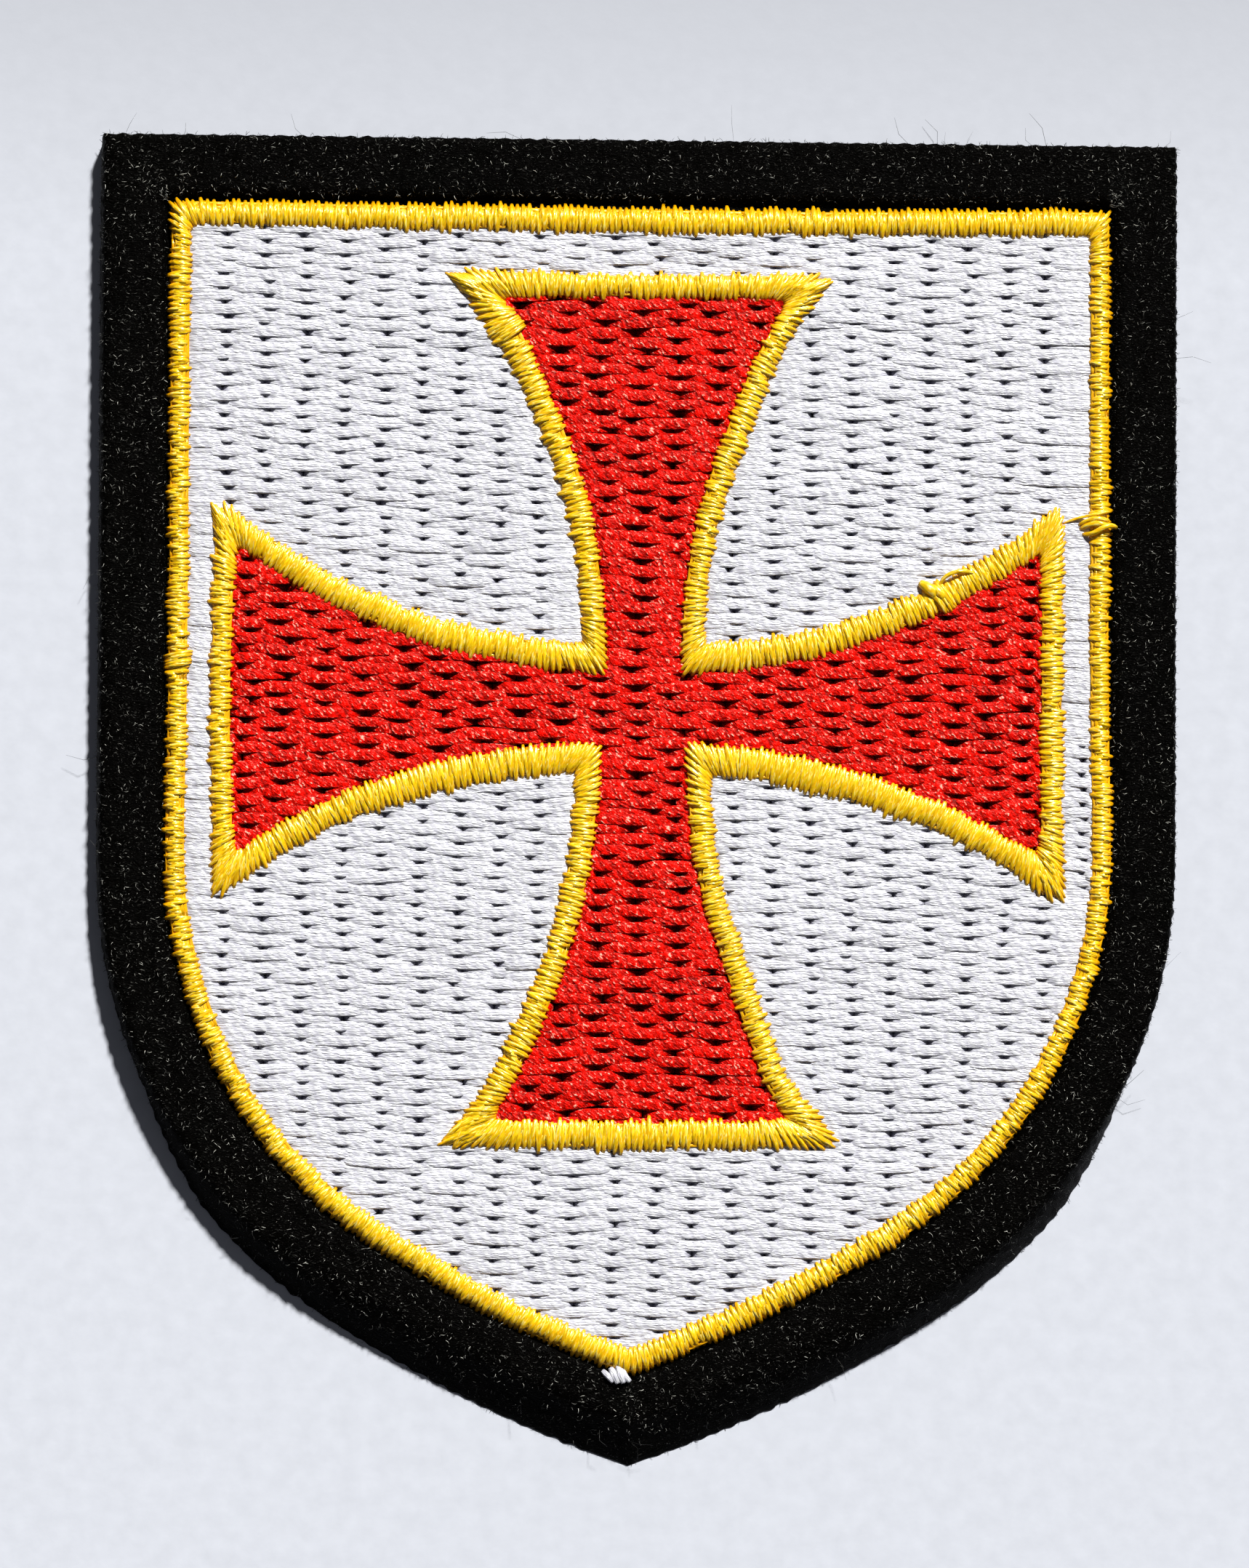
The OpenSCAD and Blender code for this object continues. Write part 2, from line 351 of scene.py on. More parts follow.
def threadMaterial(name, look):
    material, tree = newMaterial(name)
    uv = put(tree, "UVMap", uv_map="thread").outputs[0]
    split = put(tree, "SeparateXYZ", {0: uv})
    length, around = split.outputs[0], split.outputs[1]
    tint = put(tree, "Attribute", attribute_name="tint").outputs["Fac"]
    slack = noise(tree, uv, finish["slackScale"])
    paid = calc(tree, "ADD", length, calc(tree, "MULTIPLY", slack, look["slack"]))
    twisted = calc(tree, "SUBTRACT", around, calc(tree, "DIVIDE", paid, look["twist"]))
    ply = calc(tree, "POWER", calc(tree, "SINE", calc(tree, "MULTIPLY", twisted, 2 * math.pi)), 2.0)
    strand = put(tree, "CombineXYZ", {
        0: calc(tree, "MULTIPLY", length, look["strandLong"]),
        1: calc(tree, "SUBTRACT", calc(tree, "MULTIPLY", around, look["strandAcross"]),
                calc(tree, "MULTIPLY", length, look["skew"])),
        2: calc(tree, "ADD", calc(tree, "MULTIPLY", tint, finish["tintStep"]),
                calc(tree, "MULTIPLY", ply, finish["plyStep"])),
    }).outputs[0]
    fine = noise(tree, strand)
    hair = noise(tree, strand, finish["hairScale"])
    height = calc(tree, "ADD", calc(tree, "MULTIPLY", ply, look["plyDepth"]),
                  calc(tree, "MULTIPLY", fine, look["strandDepth"]))
    height = calc(tree, "ADD", height, calc(tree, "MULTIPLY", hair, look["hairDepth"]))
    # painted shade: the grooves between the plies take the darker crease colour
    color = mixColors(tree, ply, look["paintedCreaseShade"], look["color"])
    # painted shade: low down, in the needle holes and at the bands' feet, the colour turns to the darker
    # deep colour (orange on the gold)
    place = put(tree, "SeparateXYZ", {0: put(tree, "TexCoord").outputs["Object"]}).outputs[2]
    low, high = look["paintedShadeZ"]
    clearOfShade = calc(tree, "DIVIDE", calc(tree, "SUBTRACT", place, low * mm), (high - low) * mm, clamp=True)
    color = mixColors(tree, clearOfShade, look["deep"], color)
    shade = calc(tree, "ADD", calc(tree, "MULTIPLY", fine, look["streak"]),
                 calc(tree, "SUBTRACT", tint, look["streak"] / 2))
    grey = put(tree, "CombineXYZ", {0: shade, 1: shade, 2: shade}).outputs[0]
    color = mixColors(tree, 1.0, color, grey, "MULTIPLY")
    # painted glints: spots where the filaments lie smooth get a lower roughness and a lighter painted
    # colour, on the upper parts only
    over = calc(tree, "SUBTRACT", fine, look["glintSpotFrom"])
    glintSpot = calc(tree, "MULTIPLY", calc(tree, "MULTIPLY", over, look["glintSpotRise"], clamp=True), clearOfShade)
    color = mixColors(tree, calc(tree, "MULTIPLY", glintSpot, look["paintedGlintShare"]), color, look["paintedGlintColor"])
    dull, smooth = look["roughness"]
    roughness = calc(tree, "ADD", dull, calc(tree, "MULTIPLY", glintSpot, smooth - dull))
    finishMaterial(tree, {
        "Base Color": color, "Roughness": roughness, "Normal": bumped(tree, height, mm), "IOR": look["ior"],
        "Specular IOR Level": look["gloss"], "Specular Tint": (*look["glint"], 1),
    })
    return material


# Felt: a cut shield with a soft edge, pressed down where the stitching holds it
felt = {
    "borderInset": 4.3, "cutFlare": 0.15, "cutLean": 0.4,   # as in the solids
    "recessSideW": 0.675, "recessFlatW": 0.825,             # half widths of the border and its gap
    "floorDrop": 0.53,                                      # from the bare felt to the pressed felt
    "recessIn": 3.6,                                        # where the profile below meets the recess
    "pointEvery": 0.2,                                      # along the outline
    "wallWander": 0.09, "faceWander": 0.03, "wanderLong": 0.8,
    "topWander": 0.045, "topWanderLong": 1.3, "lastWallRow": 6,
    "wornFrom": -24, "wornOver": 9,                         # towards the point the edge is worn round
    "wornEdge": 1.0, "wornRise": 0.84, "wornKeep": 0.5,
    "wornSide": 0.04,                                       # less so right of the point
    "wornFoot": 0.75, "footFrom": -16, "footOver": 6,
    "warpScale": 700.0, "warpDetail": 2.0, "warpBy": 0.0012,
    "fibreLays": ((25, 1), (85, 1.1), (145, 0.9)),          # degrees, and how fine
    "fibreScale": (4200, 13000, 9000), "fibreHigh": 0.12,
    # the fleck colour is a painted glint: lighter flecks that stand in for glinting fibres
    "color": (0.0007, 0.0006, 0.0004), "paintedGlintFleck": (0.06, 0.06, 0.054), "glintFleckFrom": 0.7, "glintFleckRise": 9.0,
    "roughness": 0.5, "gloss": 0.015,
    "seed": 5,
}


def resample(path, every):
    closed = np.vstack([path, path[:1]])
    reach = np.concatenate([[0], np.cumsum(np.linalg.norm(np.diff(closed, axis=0), axis=1))])
    s = np.linspace(0, reach[-1], int(reach[-1] / every), endpoint=False)
    return np.stack([np.interp(s, reach, closed[:, 0]), np.interp(s, reach, closed[:, 1])], -1), s


def feltMaterial():
    material, tree = newMaterial("blackFelt")
    place = put(tree, "TexCoord").outputs["Object"]
    warp = noise(tree, place, felt["warpScale"], felt["warpDetail"], "Color")
    shift = put(tree, "VectorMath", {0: warp, 1: (felt["warpBy"],) * 3}, operation="MULTIPLY").outputs[0]
    bent = put(tree, "VectorMath", {0: place, 1: shift}).outputs[0]
    heights = []
    long, wide, deep = felt["fibreScale"]
    for turn, scale in felt["fibreLays"]:
        around = (0, 0, math.radians(turn))
        size = (long * scale, wide * scale, deep)
        laid = put(tree, "Mapping", {"Vector": bent, "Rotation": around, "Scale": size}).outputs[0]
        heights.append(noise(tree, laid))
    fibres = calc(tree, "MAXIMUM", calc(tree, "MAXIMUM", heights[0], heights[1]), heights[2])
    # painted glints: where the fibre pattern peaks the felt is painted lighter
    over = calc(tree, "SUBTRACT", fibres, felt["glintFleckFrom"])
    fleck = calc(tree, "MULTIPLY", over, felt["glintFleckRise"], clamp=True)
    finishMaterial(tree, {
        "Base Color": mixColors(tree, fleck, felt["color"], felt["paintedGlintFleck"]),
        "Roughness": felt["roughness"], "Specular IOR Level": felt["gloss"],
        "Normal": bumped(tree, fibres, felt["fibreHigh"] * mm),
    })
    return material


# The next ring of a closed wall: the loop's edges are drawn on to new places
def nextRing(bm, loop, edges, places):
    made = bmesh.ops.extrude_edge_only(bm, edges=edges)["geom"]
    index = {v: i for i, v in enumerate(loop)}
    ring = [None] * len(loop)
    for v in made:
        if isinstance(v, bmesh.types.BMVert):
            old = next(e.other_vert(v) for e in v.link_edges if e.other_vert(v) in index)
            ring[index[old]] = v
    for v, place in zip(ring, places):
        v.co = place
    return ring, [e for e in made if isinstance(e, bmesh.types.BMEdge)]


def feltBacking(borderPath, material):
    rng = np.random.default_rng(felt["seed"])
    low, high = (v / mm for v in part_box("felt_backing"))
    face = grown(borderPath, felt["borderInset"], felt["borderInset"])
    dense, s = resample(face, felt["pointEvery"])
    rim = grown(resample(borderPath, felt["pointEvery"])[0], felt["recessSideW"], felt["recessFlatW"])
    # the rim's nearest way round for each point of the face outline
    gap = np.linalg.norm(dense[:, None, :] - rim[None, :, :], axis=2)
    near = rim[gap.argmin(1)]
    inwards = near - dense
    deep = np.linalg.norm(inwards, axis=1, keepdims=True)
    inwards = inwards / deep
    top = high.z
    worn = np.clip((felt["wornFrom"] - dense[:, 1]) / felt["wornOver"], 0, 1)
    worn = worn * np.clip(1 - felt["wornSide"] * dense[:, 0], 0, 1)
    base = grown(dense, felt["cutFlare"], felt["cutFlare"]) - [0, felt["cutLean"]]
    footOut = felt["wornFoot"] * np.clip((felt["footFrom"] - dense[:, 1]) / felt["footOver"], 0, 1)
    base = base - inwards * footOut[:, None]
    # columns: share from the base outline to the face outline, distance inwards, height
    profile = [(0, 0.5, 0.0), (0, 0.12, 0.0), (0, 0.0, 0.12), (0.3, -0.06, top * 0.3),
               (0.65, -0.07, top * 0.65), (0.9, -0.02, top * 0.87), (1, 0.08, top * 0.96), (1, 0.3, top),
               (1, 0.7, top), (1, 1.1, top), (1, 1.5, top), (1, 1.9, top), (1, 2.3, top), (1, 2.7, top),
               (1, 3.05, top - 0.01), (1, 3.3, top - 0.09), (1, 3.5, top - 0.3),
               (1, 3.75, top - felt["floorDrop"])]
    bm = bmesh.new()
    for row, (share, inward, z) in enumerate(profile):
        ring = base * (1 - share) + dense * share
        reach = deep * inward / felt["recessIn"] if inward > 0.5 else inward
        ring = ring + inwards * reach
        onWall = inward < 0.5 and z > 0
        size = felt["wallWander"] if onWall else felt["faceWander"]
        ring = ring - inwards * wander(s, size, felt["wanderLong"], rng)[:, None]
        heights = np.full(len(s), z)
        if row > felt["lastWallRow"]:
            heights = heights + wander(s, felt["topWander"], felt["topWanderLong"], rng)
        slope = (felt["wornEdge"] + felt["wornRise"] * max(inward, 0)) * share
        heights = heights - worn * np.maximum(heights - max(slope, z * felt["wornKeep"]), 0)
        if row == 0:
            loop = [bm.verts.new((x, y, z)) for (x, y) in ring]
            edges = [bm.edges.new((a, b)) for a, b in zip(loop, loop[1:] + loop[:1])]
            first = edges
        else:
            loop, edges = nextRing(bm, loop, edges, np.column_stack([ring, heights]))
    bmesh.ops.contextual_create(bm, geom=first)
    bmesh.ops.contextual_create(bm, geom=edges)
    bmesh.ops.recalc_face_normals(bm, faces=bm.faces)
    for quad in bm.faces:
        quad.smooth = len(quad.verts) == 4
    bmesh.ops.scale(bm, vec=(mm,) * 3, verts=bm.verts)
    piece = toScene("felt_shield", toMesh(bm, "felt_shield"), material)
    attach(piece, "root")
    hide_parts("felt_backing")
    size = high - low
    return {"line": dense, "inwards": inwards, "deep": deep, "top": top, "base": base, "worn": worn}


borderPath = crownPath("shield_border")
crossPath = crownPath("cross_outline")
backing = feltBacking(borderPath, feltMaterial())


# Fill stitches: level rows, with the needle columns half a stitch apart on neighbouring rows
fill = {
    "rowShift": 0.011, "shortest": 0.5,     # a row with less room than this is left out
    "clear": 0.9, "edgeSpread": 0.12,       # from a needle hole to the edge, and how uneven the edge is
    "slant": (0.1, 0.7),                    # of a row that is one stitch, as a share of the pitch
    "steps": (0, 0.13, 0.36, 0.9),          # of the tube's rings from each end, nearer if it is short
    "fullLong": 2.0, "sides": 8, "risePower": 1.2,
    "bow": 0.03, "swayLong": 7, "crestSpread": 0.015, "sinkRange": (-1, 0.6), "widthSpread": 0.05,
}
field = {
    "pitch": 0.393, "stitch": 4.36, "column": 0.84,
    "width": 0.64, "endWidth": 0.26, "height": 0.085, "endHeight": 0.085,
    "sink": 0.33, "sinkSpread": 0.55,      # how deep a stitch ends, and how unevenly
    "dip": 0.52, "narrowOver": 0.6,        # lengths over which it dips and narrows
    "lift": 0.04,
    "endSpread": 0.13, "rowSpread": 0.035, "sway": 0.18, "tuck": 0.6, "tintSpread": 0.05,
    "seed": 21,
}
crossFill = {
    "pitch": 0.495, "stitch": 4.38, "column": -0.06,
    "width": 0.69, "endWidth": 0.44, "height": 0.1, "endHeight": 0.09,
    "sink": 0.4, "sinkSpread": 0.5,
    "dip": 1.0, "narrowOver": 1.1,
    "lift": 0.04,
    "endSpread": 0.25, "rowSpread": 0.07, "sway": 0.2, "tuck": 0.55, "tintSpread": 0.08,
    "seed": 22,
}
# In each look the crease and deep colours are painted shade, in the ply grooves and on the low parts, and
# the spot colour is a painted glint
whiteLook = {
    "color": (0.69, 0.70, 0.74), "paintedCreaseShade": (0.60, 0.60, 0.68), "twist": 1.22, "slack": 0.5,
    "deep": (0.24, 0.23, 0.34), "paintedShadeZ": (1.72, 2.0), "streak": 0.9,
    "strandLong": 1.4, "strandAcross": 20.0, "plyDepth": 0.012, "strandDepth": 0.075, "hairDepth": 0.008,
    "skew": 0.0, "roughness": (0.34, 0.25), "gloss": 0.8, "glint": (1.0, 1.0, 1.0), "ior": 1.5,
    "glintSpotFrom": 0.6, "glintSpotRise": 9.0, "paintedGlintShare": 0.2, "paintedGlintColor": (0.95, 0.95, 0.95),
}
redLook = {
    "color": (0.92, 0.003, 0.0), "paintedCreaseShade": (0.50, 0.002, 0.0), "twist": 1.22, "slack": 0.5,
    "deep": (0.17, 0.0, 0.0), "paintedShadeZ": (1.76, 2.0), "streak": 2.6,
    "strandLong": 5.0, "strandAcross": 12.0, "plyDepth": 0.02, "strandDepth": 0.10, "hairDepth": 0.01,
    "skew": 3.0, "roughness": (0.45, 0.2), "gloss": 0.14, "glint": (1.0, 0.8, 0.7), "ior": 1.5,
    "glintSpotFrom": 0.62, "glintSpotRise": 8.0, "paintedGlintShare": 1.0, "paintedGlintColor": (1.0, 0.50, 0.37),
}
goldLook = {
    "color": (0.95, 0.62, 0.003), "paintedCreaseShade": (0.93, 0.49, 0.0), "twist": 1.5, "slack": 0.8,
    "deep": (0.93, 0.43, 0.0), "paintedShadeZ": (2.04, 2.25), "streak": 0.9,
    "strandLong": 2.0, "strandAcross": 8.0, "plyDepth": 0.01, "strandDepth": 0.03, "hairDepth": 0.005,
    "skew": 0.0, "roughness": (0.28, 0.2), "gloss": 1.0, "glint": (1.0, 0.96, 0.4), "ior": 1.65,
    "glintSpotFrom": 0.56, "glintSpotRise": 9.0, "paintedGlintShare": 0.7, "paintedGlintColor": (1.0, 0.95, 0.28),
}


# Pairs of x between which a level row lies inside the outlines
def rowSpans(y, outlines):
    crossings = []
    for path in outlines:
        a, b = path, np.roll(path, -1, 0)
        hit = (a[:, 1] > y) != (b[:, 1] > y)
        share = (y - a[hit, 1]) / (b[hit, 1] - a[hit, 1])
        crossings += list(a[hit, 0] + share * (b[hit, 0] - a[hit, 0]))
    crossings.sort()
    return list(zip(crossings[::2], crossings[1::2]))


# Slow drift of the rows, the same for neighbouring stitches
def sway(plan, size, length, rng, terms=6, spread=(0.5, 1.6)):
    moved = np.zeros_like(plan)
    for _ in range(terms):
        way = rng.uniform(0, 2 * math.pi)
        along = plan[..., 0] * math.cos(way) + plan[..., 1] * math.sin(way)
        wave = along / (length * rng.uniform(*spread))
        moved[..., 1] += np.sin(2 * math.pi * (wave + rng.uniform()))
    return moved * size / terms


# Both ends of every stitch as x, y, x, y: each row runs from edge to edge by way of its needle columns
def stitchEnds(rows, outlines, rng):
    low = min(path[:, 1].min() for path in outlines)
    high = max(path[:, 1].max() for path in outlines)
    loose = fill["edgeSpread"]
    ends = []
    for j in range(int(low / rows["pitch"]) - 1, int(high / rows["pitch"]) + 2):
        y = j * rows["pitch"] + fill["rowShift"]
        column = rows["column"] + (j % 2) * rows["stitch"] / 2
        for left, right in rowSpans(y, outlines):
            if right - left < fill["shortest"]:
                continue
            first = math.ceil((left + fill["clear"] - column) / rows["stitch"])
            last = math.floor((right - fill["clear"] - column) / rows["stitch"])
            needles = [column + k * rows["stitch"] for k in range(first, last + 1)]
            needles = list(needles + rng.normal(0, rows["endSpread"], len(needles)))
            xs = [left + rng.uniform(-loose, loose), *needles, right + rng.uniform(-loose, loose)]
            ys = y + rng.normal(0, rows["rowSpread"], len(xs))
            if len(xs) == 2:
                ys = y + np.array([0.5, -0.5]) * rows["pitch"] * rng.uniform(*fill["slant"])
            ends += [(xs[i], ys[i], xs[i + 1], ys[i + 1]) for i in range(len(xs) - 1)]
    return np.array(ends)


# A stitch dips and narrows at both its ends, and bows a little
def fillStitches(name, rows, outlines, top, material, node):
    rng = np.random.default_rng(rows["seed"])
    ends = stitchEnds(rows, outlines, rng)
    a, b = ends[:, :2], ends[:, 2:]
    length = np.linalg.norm(b - a, axis=1)
    steps = np.array(fill["steps"])
    scale = np.minimum(1, length / fill["fullLong"])
    near = steps[None, :] * scale[:, None] / length[:, None]
    t = np.concatenate([near, 1 - near[:, ::-1]], 1)
    plan = a[:, None, :] * (1 - t)[..., None] + b[:, None, :] * t[..., None]
    fromEnd = np.minimum(t, 1 - t) * length[:, None]
    dip = rows["dip"] * scale[:, None]
    rise = np.sin(np.clip(fromEnd / dip, 0, 1) * math.pi / 2) ** fill["risePower"]
    bow = rng.normal(0, fill["bow"], len(ends))[:, None] * np.sin(math.pi * t)
    plan[..., 1] += bow
    plan = plan + sway(plan, rows["sway"], fill["swayLong"], rng)
    crest = top + rows["lift"] - rows["height"] / 2 + rng.normal(0, fill["crestSpread"], len(ends))[:, None]
    uneven = 1 + rows["sinkSpread"] * rng.uniform(*fill["sinkRange"], (len(ends), 2))
    sink = rows["sink"] * np.where(t < 0.5, uneven[:, :1], uneven[:, 1:])
    z = crest - sink * (1 - rise)
    points = np.concatenate([plan, z[..., None]], -1)
    full = np.sin(np.clip(fromEnd / (rows["narrowOver"] * scale[:, None]), 0, 1) * math.pi / 2)
    widths = rows["endWidth"] + (rows["width"] - rows["endWidth"]) * full
    widths = widths * rng.normal(1, fill["widthSpread"], len(ends))[:, None]
    heights = rows["endHeight"] + (rows["height"] - rows["endHeight"]) * rise
    tints = rng.normal(1, rows["tintSpread"], len(ends))
    base = baseTube(fill["sides"], 2 * len(steps))
    threadPiece(name, base, points, widths, heights, tints, material, node)


# Satin: a thread to and fro across the band, arched over the underlay and fanned into the corners,
# with lower inlay threads in the slits between
satin = {
    "sampleEvery": 0.04, "sharpFrom": 25,             # degrees of a turn that counts as a corner
    "fanPower": 2.5, "wanderLong": 5, "cornerCalm": 0.3,
    "legTo": 15,                                      # x up to which the upright arms reach
    "steps": (0, 0.1, 0.26, 0.5, 0.74, 0.9, 1),       # of the tube's rings, and how full it is at each
    "full": (0, 0.5, 0.95, 1, 0.95, 0.5, 0),
    "widthSpread": 0.06, "sides": 6,
    "underShares": (-0.6, -0.3, 0, 0.3, 0.6), "underDrop": 0.14, "underWidth": 0.27,
    "underEvery": 55, "underLap": 6,                  # samples of the rails in one stitch, and past its end
    "tipThreads": 11, "tipRange": (0.85, 1.1), "tipIn": 0.2, "tipFoot": 0.45, "tipLift": 0.01,
    "lapEvery": 0.16, "lapSkew": 0.35, "lapOver": (0.02, 0.2), "lapLift": 0.1,
    "inlayIn": 0.1, "inlayLift": -0.035,
}
border = {
    "pulls": [((0, 32.3), (0, -0.22), (22, 3)), ((12, 32.3), (0, -0.06), (9, 3)),
              ((-26.2, -2.9), (-0.12, 0), (3, 6)), ((26.2, -3.4), (0.17, 0), (3, 7)),
              ((-6.4, -29.3), (-0.06, -0.14), (7, 4)), ((-17, -21), (-0.08, -0.08), (8, 7))],
    "sideW": 1.31, "flatW": 1.58, "spacing": 0.168, "fan": 3.0, "mitre": 0.95,
    "width": 0.27, "endWidth": 0.16, "height": 0.09, "arch": 2.0,
    "innerZ": 1.99, "outerZ": 1.74, "under": 0.23,   # heights of the needle holes and drop of the crown
    "endSpread": 0.07, "alongSpread": 0.035, "wander": 0.06, "peakSpread": 0.01, "tintSpread": 0.07,
    "flare": 0, "swells": [], "tips": [], "laps": [((-25.9, 7.4), 0.8)],
    "ragged": 2.0,                                   # how uneven the inner edge is on the upright runs
    "seed": 31,
}
outline = {
    "pulls": [((-23.2, 5), (-0.3, 0), (2, 9)), ((0, 28.5), (0, -0.12), (9, 2)),
              ((0, -18.8), (0, -0.12), (9, 2)), ((14, 0), (0, -0.25), (8, 4)),
              ((-15, 10.5), (0, -0.12), (8, 3.5)), ((4.8, 20.8), (0.22, 0), (2.5, 5)),
              ((-5.8, 22.0), (-0.2, 0), (2.5, 4.5)), ((5.5, -8.8), (0.25, 0), (2, 4)),
              ((-20.2, -1.6), (0, 0.2), (5, 3)), ((7.3, 0.8), (0, -0.15), (5, 2.5)),
              ((-6, 1.5), (0, -0.1), (4, 2.5)), ((-8.9, 26.5), (-0.2, -0.14), (1.4, 1.3)),
              ((8.1, -15.7), (-0.4, 0), (1.5, 1.6))],
    "sideW": 1.42, "flatW": 1.78, "spacing": 0.168, "fan": 5.0, "mitre": 0.72,
    "width": 0.27, "endWidth": 0.16, "height": 0.09, "arch": 2.0,
    "innerZ": 2.0, "outerZ": 1.99, "under": 0.26,
    "endSpread": 0.09, "alongSpread": 0.04, "wander": 0.06, "peakSpread": 0.012, "tintSpread": 0.07,
    "tipLong": 1.3, "tipWide": 0.5,                  # how each spike widens behind its tip
    "flare": 0.3,                                    # how far the upright arms' sides spread towards a spike
    "swells": [((0, 28.5), -0.15, (12, 3)), ((9, -0.5), 0.12, (7, 4)), ((-9, -0.5), 0.1, (7, 4)),
               ((-8.8, 26.1), 0.4, (1.6, 1.7)), ((-23.4, 5), -0.07, (2, 8)),
               ((22.8, -3.6), 0.1, (1.5, 2))],       # wider (or, below 0, narrower) stretches
    "tips": [(-11.03, 29.0), (10.6, 28.93), (-24.01, 16.18), (23.48, 16.22),
             (-23.76, -5.84), (23.78, -5.95), (-11.24, -19.54), (10.98, -19.58)],
    "laps": [((16.6, 11.8), 0.8), ((-7.6, 26.0), 0.9)],
    "ragged": 0.8,
    "seed": 32,
}


# Dense inner and outer needle lines along a closed path
def satinRails(path, band, rng):
    outer = grown(path, band["sideW"] / 2, band["flatW"] / 2)
    inner = grown(path, -band["sideW"] / 2, -band["flatW"] / 2)
    edge = np.roll(path, -1, 0) - path
    length = np.linalg.norm(edge, axis=1)
    along = edge / length[:, None]
    before = np.roll(along, 1, 0)
    sharp = (before * along).sum(1) < math.cos(math.radians(satin["sharpFrom"]))
    blend = unit(before + along)
    leaving = np.where(sharp[:, None], along, blend)
    arriving = np.roll(np.where(sharp[:, None], before, blend), -1, 0)
    starts = np.concatenate([[0], np.cumsum(length)])
    total = starts[-1]
    s = np.arange(0, total, satin["sampleEvery"])
    i = np.clip(np.searchsorted(starts, s, "right") - 1, 0, len(path) - 1)
    f = ((s - starts[i]) / length[i])[:, None]
    centre = path[i] + edge[i] * f
    tangent = unit(leaving[i] * (1 - f) + arriving[i] * f)
    normal = outward(tangent)
    half = byRun(normal, band["sideW"] / 2, band["flatW"] / 2)[:, None]
    for place, extra, reach in band["swells"]:
        half = half + extra * np.exp(-(((centre - place) / reach) ** 2).sum(1))[:, None]
    corners = np.flatnonzero(sharp)
    at = starts[corners]
    ahead = corners[np.searchsorted(at, s, "left") % len(corners)]
    behind = corners[(np.searchsorted(at, s, "right") - 1) % len(corners)]
    toAhead = (starts[ahead] - s) % total
    toBehind = (s - starts[behind]) % total
    pullAhead = np.clip(1 - toAhead / band["fan"], 0, 1)[:, None] ** satin["fanPower"]
    pullBehind = np.clip(1 - toBehind / band["fan"], 0, 1)[:, None] ** satin["fanPower"]
    calm = 1 - np.maximum(pullAhead, pullBehind)
    lines = []
    turnLeft = before[:, 0] * along[:, 1] - before[:, 1] * along[:, 0] > 0
    for way, line in ((-1, inner), (1, outer)):
        mitre = line - path
        if way == 1:
            mitre = mitre * np.where(turnLeft, band["mitre"], 1)[:, None]
        aheadBy = (mitre[ahead] * before[ahead]).sum(1)[:, None]
        behindBy = (mitre[behind] * along[behind]).sum(1)[:, None]
        shift = aheadBy * pullAhead + behindBy * pullBehind
        loose = wander(s, band["wander"], satin["wanderLong"], rng)[:, None] * calm
        if way == 1:
            spiked = pullAhead * turnLeft[ahead][:, None] + pullBehind * turnLeft[behind][:, None]
            onLeg = np.abs(centre[:, :1]) < satin["legTo"]
            loose = loose + band["flare"] * spiked * onLeg * normal[:, :1] ** 2
        lines.append(centre + normal * (way * half + loose) + tangent * shift)
    return {"s": s, "total": total, "inner": lines[0], "outer": lines[1], "centre": centre,
            "normal": normal, "half": half[:, 0],
            "calm": satin["cornerCalm"] + (1 - satin["cornerCalm"]) * calm,
            "innerCorners": inner[corners[turnLeft[corners]]]}


# Threads from the inner points a to the outer points b, arched up to the crown
def archedThreads(a, b, band, crown, rng, lift=0.0):
    t = np.array(satin["steps"])
    plan = a[:, None, :] * (1 - t)[None, :, None] + b[:, None, :] * t[None, :, None]
    arch = 1 - np.abs(2 * t - 1) ** band["arch"]
    peak = crown - band["under"] - band["height"] / 2 + rng.normal(0, band["peakSpread"], len(a)) + lift
    foot = np.where(t < 0.5, band["innerZ"], band["outerZ"])[None, :]
    z = foot + (peak[:, None] - foot) * arch[None, :]
    points = np.concatenate([plan, z[..., None]], -1)
    widths = band["endWidth"] + (band["width"] - band["endWidth"]) * np.array(satin["full"])
    widths = widths[None, :] * rng.normal(1, satin["widthSpread"], len(a))[:, None]
    return points, widths


# Five threads along the band, under the satin: each stitch ends a little past the start of the next
def underlayThreads(rails, band, crown):
    sections = []
    first = np.arange(0, len(rails["s"]), satin["underEvery"])
    reach = np.linspace(0, satin["underEvery"] + satin["underLap"], len(satin["steps"]))
    index = (first[:, None] + np.round(reach).astype(int)[None, :]) % len(rails["s"])
    for share in satin["underShares"]:
        plan = rails["centre"] + rails["normal"] * (rails["half"] * share)[:, None]
        foot = band["innerZ"] if share < 0 else band["outerZ"]
        rise = (crown - band["under"] - foot) * (1 - abs(share) ** band["arch"])
        z = foot + rise - satin["underDrop"]
        sections.append(np.concatenate([plan[index], np.full((*index.shape, 1), z)], -1))
    return np.concatenate(sections)


# Threads side by side that close a spike, the outer ones shorter
def tipEnds(tip, rails, band, rng):
    corners = rails["innerCorners"]
    inner = corners[np.linalg.norm(corners - tip, axis=1).argmin()]
    out = unit(tip - inner)
    across = np.array([-out[1], out[0]])
    share = np.linspace(-1, 1, satin["tipThreads"])[:, None]
    short = band["tipLong"] * np.abs(share) * rng.uniform(*satin["tipRange"], share.shape)
    a = inner + out * satin["tipIn"] + across * share * satin["tipFoot"]
    return a, tip - out * short + across * share * band["tipWide"]


